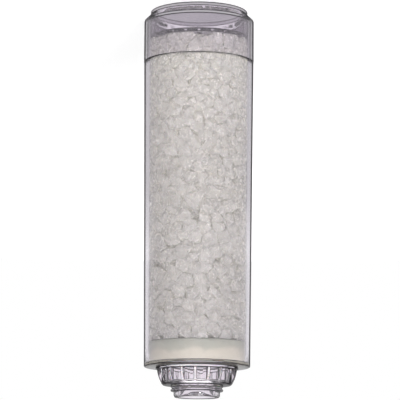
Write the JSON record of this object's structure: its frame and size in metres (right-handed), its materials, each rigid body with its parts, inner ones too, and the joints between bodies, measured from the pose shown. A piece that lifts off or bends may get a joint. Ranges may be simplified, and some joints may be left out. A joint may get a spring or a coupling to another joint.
{
  "type": "anti-scale filter cartridge",
  "caption": "Clear tapered tube of loose glassy crystals on a felt pad, with a slotted inlet cap on a chamfered foot and a ribbed crown with a stepped outlet neck.",
  "frame": {"origin": "centre of the cap's flat outer face, on which the cartridge stands", "axes": "+Z along the cartridge's axis, from the cap to the rim of the outlet neck; +X and +Y are free, as the body is round"},
  "size_m": [0.0704, 0.0704, 0.248],
  "materials": {
    "clear_plastic": "clear and polished, with a faint grey-violet tint at its edges",
    "crystal": "glassy, frosted where it is broken",
    "felt": "dense fibre felt",
    "strainer_plastic": "satin"
  },
  "bodies": {
    "root": {"container": "clear_plastic", "end_cap": "clear_plastic", "crystals": "crystal", "outlet_pad": "felt", "outlet_strainer": "strainer_plastic"}
  },
  "joints": []
}
